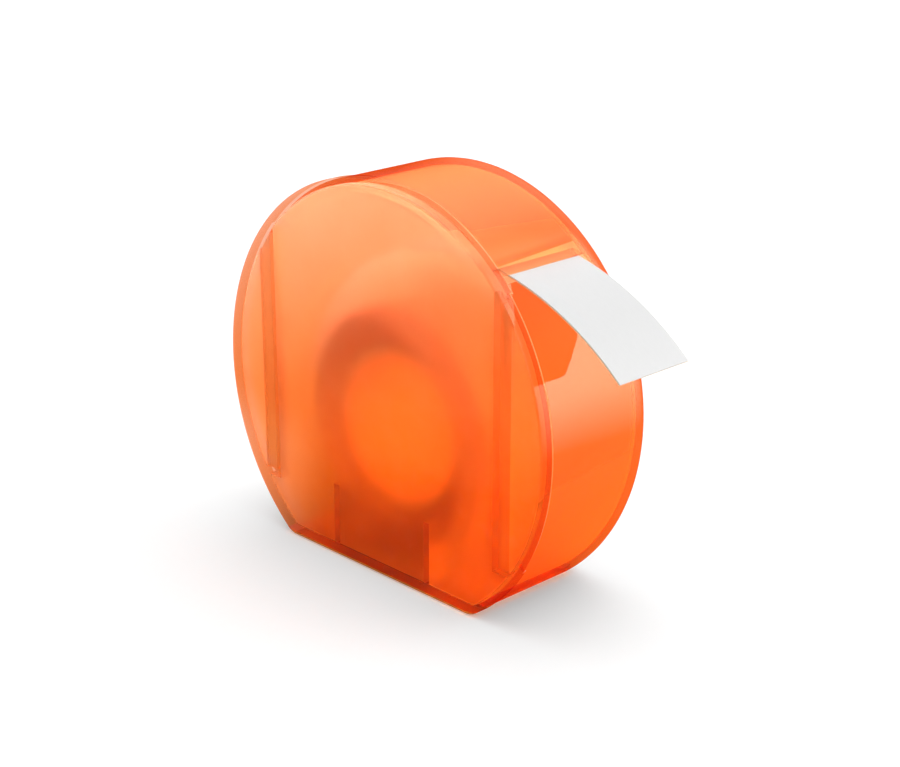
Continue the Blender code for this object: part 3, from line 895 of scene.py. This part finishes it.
# %% Slot
CURL_RADIUS = 49.4 * MM
CURL_SLOPE = math.radians(13.5)
SLOT_ANGLE = math.radians(45)
SLOT_GAP = 0.35 * MM
LIP_GAP = 0.05 * MM
SLOT_SIDE = 1.9 * MM
SLOT_COLUMNS = 60
BACKING_THICKNESS = 0.15 * MM
GLUE = 0.02 * MM
LABEL_THICKNESS = 0.12 * MM
WEB_THICKNESS = BACKING_THICKNESS + GLUE + LABEL_THICKNESS
STRIP_INSIDE = 24.0 * MM
STRIP_SPARE = 4.0 * MM
STRIP_START = CURL_SLOPE - STRIP_INSIDE / CURL_RADIUS
CURL_CENTRE = (
    CASE_RADIUS * math.cos(SLOT_ANGLE) - CURL_RADIUS * math.sin(CURL_SLOPE),
    CENTRE_HEIGHT + CASE_RADIUS * math.sin(SLOT_ANGLE) - CURL_RADIUS * math.cos(CURL_SLOPE),
)


def slot_channel():
    """Arched channel of the strip, open towards the cover so that the strip can be laid in."""
    low = (CURL_RADIUS - SLOT_GAP, TONGUE_TIP_Y - OVERRUN)
    high = (CURL_RADIUS + WEB_THICKNESS + LIP_GAP, WEB_BACK_Y + SLOT_SIDE)
    angles = np.linspace(STRIP_START, CURL_SLOPE + STRIP_SPARE / CURL_RADIUS, SLOT_COLUMNS)
    return swept("slot_channel", rectangle(low, high), angles, CURL_CENTRE, CHANNEL)


# %% Case
case_stops = (
    math.asin((LOBE_FOOT + SEAM_GAP - CENTRE_HEIGHT) / CASE_RADIUS),
    LOBE_TOP_ANGLE - SEAM_GAP / COVER_RADIUS,
)
edge_y = SKIRT_Y + SEAM_GAP - SEAM_CLOSED
inner_fillet = BACK_FILLET - WALL
case_skin = shell(
    "case_shell",
    CASE_RADIUS,
    rounded(WALL, BACK_Y - WALL, inner_fillet, -inner_fillet, FILLET_ROWS)[::-1],
    rounded(WALL, edge_y, -EDGE_ROUND, EDGE_ROUND) + rounded(0, edge_y, EDGE_ROUND, EDGE_ROUND)[::-1],
    rounded(0, BACK_Y, BACK_FILLET, -BACK_FILLET, FILLET_ROWS),
    case_stops,
)
case_mesh = carved(
    case_skin,
    joins=[top_tongue(), base_tongue(), cradle_rib(-1), cradle_rib(1)],
    cuts=[roll_room(), slot_channel()],
)
add_piece(case_mesh, "case", case_plastic, "rear_case")

# %% [markdown]
# ## Roll and core
# The web is wound with its labels outward. A label is a little narrower than its backing, so the
# side of the roll is a comb: every turn shows a ridge of backing and a groove over the label. The comb
# is one section, turned once round the axis, instead of the spiral that it is on the real roll.

# %% Roll
CORE_GAP = 0.3 * MM
LABEL_MARGIN = 0.4 * MM
RING_COLUMNS = 180
ROLL_CENTRE = (0, ROLL_HEIGHT)
full_turn = np.linspace(0, math.tau, RING_COLUMNS, endpoint=False)
inner_radius = CORE_RADIUS + CORE_GAP
turns = round((ROLL_RADIUS - inner_radius) / WEB_THICKNESS)
pitch = (ROLL_RADIUS - inner_radius) / turns
starts = inner_radius + pitch * np.arange(turns)
ridge = pitch * BACKING_THICKNESS / WEB_THICKNESS
comb_radius = np.stack([starts, starts + ridge, starts + ridge, starts + pitch], -1).ravel()
comb_depth = np.tile([0, 0, LABEL_MARGIN, LABEL_MARGIN], turns)
front_side = np.stack([comb_radius, WEB_FRONT_Y + comb_depth], -1)
back_side = np.stack([comb_radius, WEB_BACK_Y - comb_depth], -1)[::-1]
roll_section = np.concatenate([front_side, back_side])
roll_mesh = swept("wound_roll", roll_section, full_turn, ROLL_CENTRE, GLOSSY, ring=True)
add_piece(roll_mesh, "roll", roll_paper_painted_shade, "label_roll")
print("the roll has", turns, "turns")

# %% Core
CORE_WALL = 1.3 * MM
CORE_CHAMFER = 0.15 * MM
core_inner = CORE_RADIUS - CORE_WALL
core_section = [
    (core_inner, WEB_FRONT_Y + CORE_CHAMFER),
    (core_inner + CORE_CHAMFER, WEB_FRONT_Y),
    (CORE_RADIUS - CORE_CHAMFER, WEB_FRONT_Y),
    (CORE_RADIUS, WEB_FRONT_Y + CORE_CHAMFER),
    (CORE_RADIUS, WEB_BACK_Y - CORE_CHAMFER),
    (CORE_RADIUS - CORE_CHAMFER, WEB_BACK_Y),
    (core_inner + CORE_CHAMFER, WEB_BACK_Y),
    (core_inner, WEB_BACK_Y - CORE_CHAMFER),
]
core_mesh = swept("card_core", core_section, full_turn, ROLL_CENTRE, GLOSSY, ring=True)
add_piece(core_mesh, "roll", core_card, "roll_core")

# %% [markdown]
# ## Strip and labels
# Outside the slot the strip bends down under its own set, on an arc of nearly 50 mm. The first label
# ends at the strip's end, the next one lies behind it inside the case. The strip reaches a little
# further back than the wound web, which is how wide it looks beside the case. The web between roll
# and slot keeps the frame's own mesh and only gets its paper.

# %% Strip
STRIP_OUT = 25.0 * MM
LABEL_LENGTH = 29.0 * MM
LABEL_SPACING = 2.0 * MM
SIDE_MARGIN = 0.06 * MM
STRIP_WIDENED = 0.8 * MM
STRIP_COLUMNS = 80
STRIP_BACK_Y = WEB_BACK_Y + STRIP_WIDENED
STRIP_END = CURL_SLOPE + (STRIP_OUT - LABEL_MARGIN) / CURL_RADIUS


def web(name, low, high, margin, start, end):
    """Flat band on the curl, between two radii and two angles, set in by a margin on both sides."""
    section = rectangle((low, WEB_FRONT_Y + margin), (high, STRIP_BACK_Y - margin))
    return swept(name, section, np.linspace(start, end, STRIP_COLUMNS), CURL_CENTRE, GLOSSY)


label_low = CURL_RADIUS + BACKING_THICKNESS + GLUE
label_high = label_low + LABEL_THICKNESS
first_start = STRIP_END - LABEL_LENGTH / CURL_RADIUS
second_end = first_start - LABEL_SPACING / CURL_RADIUS
second_start = STRIP_START + LABEL_MARGIN / CURL_RADIUS
strip_mesh = web("backing_band", CURL_RADIUS, CURL_RADIUS + BACKING_THICKNESS, 0, STRIP_START, STRIP_END)
add_piece(strip_mesh, "strip", backing_paper, "backing_strip")
first_mesh = web("front_label", label_low, label_high, SIDE_MARGIN, first_start, STRIP_END)
add_piece(first_mesh, "strip", label_paper, "first_label")
second_mesh = web("next_label", label_low, label_high, SIDE_MARGIN, second_start, second_end)
add_piece(second_mesh, "strip", label_paper, "second_label")
web_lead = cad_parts["web_lead"].data
web_lead.materials.clear()
web_lead.materials.append(web_paper)

# %% [markdown]
# ## Floor and light
# The picture has a white ground with soft shadows. A matt floor of one grey would be dimmer than white
# where the case shades it and where it doesn't, so the floor also glows a little to the camera, to
# gloss and to glass. In gloss it shows the streak of a large lamp too, along the side where that lamp
# stands: it makes the bright field on the round wall of the case, which fades out near the base.

# %% Floor
FLOOR_REACH = 4.0
FLOOR_GAP = 0.05 * MM
FLOOR_GREY = 0.89
FLOOR_GLOW = 0.17
LAMP_SIDE = (0.69, 0.724, 0.0)
LAMP_IN_GLOSS = 12.6
LAMP_EDGE_COSINE = 0.71
LAMP_CORE_COSINE = 0.996
LAMP_NEAR = 0.11
SHOWN_TO = ("Is Camera Ray", "Is Glossy Ray", "Is Transmission Ray")


def ray_kinds(finish):
    """Share of glossy rays, and of the three kinds of ray together that see the white ground."""
    kinds = [finish.node("ShaderNodeLightPath", out=kind) for kind in SHOWN_TO]
    return kinds[1], finish.maths("MINIMUM", kinds[0] + kinds[1] + kinds[2], 1.0)


floor_mesh = bpy.data.meshes.new("floor")
sides = rectangle((-FLOOR_REACH, -FLOOR_REACH), (FLOOR_REACH, FLOOR_REACH))
floor_mesh.from_pydata([(x, y, -FLOOR_GAP) for x, y in sides], [], [(0, 1, 2, 3)])
floor = bpy.data.objects.new("floor", floor_mesh)
bpy.context.scene.collection.objects.link(floor)
ground = Finish("floor")
in_gloss, shown = ray_kinds(ground)
place = ground.node("ShaderNodeTexCoord", out="Object")
far = ground.node("ShaderNodeVectorMath", {"operation": "LENGTH"}, {0: place}, out="Value")
towards_lamp = ground.step(ground.dot(place, LAMP_SIDE) / far, LAMP_EDGE_COSINE, LAMP_CORE_COSINE)
rise = ground.maths("MAXIMUM", 1.0 - LAMP_NEAR / far, 0.0)
glow = shown * FLOOR_GLOW + in_gloss * towards_lamp * rise * LAMP_IN_GLOSS
glow = ground.node("ShaderNodeEmission", {}, {"Color": glow, "Strength": 1.0})
matte = ground.node("ShaderNodeBsdfDiffuse", {}, {"Color": grey(FLOOR_GREY)})
floor_mesh.materials.append(ground.surface(ground.node("ShaderNodeAddShader", {}, {0: matte, 1: glow})))

# %% [markdown]
# ## The studio round it
# The light is a world: an even grey, white where the camera, gloss or glass looks at it, and four soft
# lamps. A lamp is a cone about a direction that fades from a core angle to an edge angle. It has one
# brightness for the object and another in gloss, because a real soft box is seen in gloss at its full
# brightness, while most of its light on the object comes by way of the room.

# %% World
AMBIENT = 0.58
LAMPS = [  # direction, brightness, brightness in gloss, core angle and edge angle in degrees
    ((0.62, 0.65, 0.47), 1.35, 0.0, 2, 34),
    ((0.65, 0.68, 0.34), 0.0, 14.0, 5, 45),
    ((-0.55, 0.64, 0.53), 0.2, 4.0, 5, 38),
    ((-0.10, 0.10, 0.98), 1.75, 1.75, 6, 42),
]
world = bpy.data.worlds.new("studio")
bpy.context.scene.world = world
room = Finish("studio", world)
in_gloss, shown = ray_kinds(room)
strength = shown * (1 - AMBIENT) + AMBIENT
towards = room.node("ShaderNodeTexCoord", out="Generated")
for side, brightness, gloss_brightness, core_angle, edge_angle in LAMPS:
    edge, core = math.cos(math.radians(edge_angle)), math.cos(math.radians(core_angle))
    lamp = room.step(room.dot(towards, side), edge, core)
    strength = strength + lamp * (in_gloss * (gloss_brightness - brightness) + brightness)
sky = room.node("ShaderNodeBackground", {}, {"Color": CLEAR, "Strength": strength})
room.node("ShaderNodeOutputWorld", {}, {"Surface": sky})
print("floor", 2 * FLOOR_REACH, "m wide, lamps:", len(LAMPS))
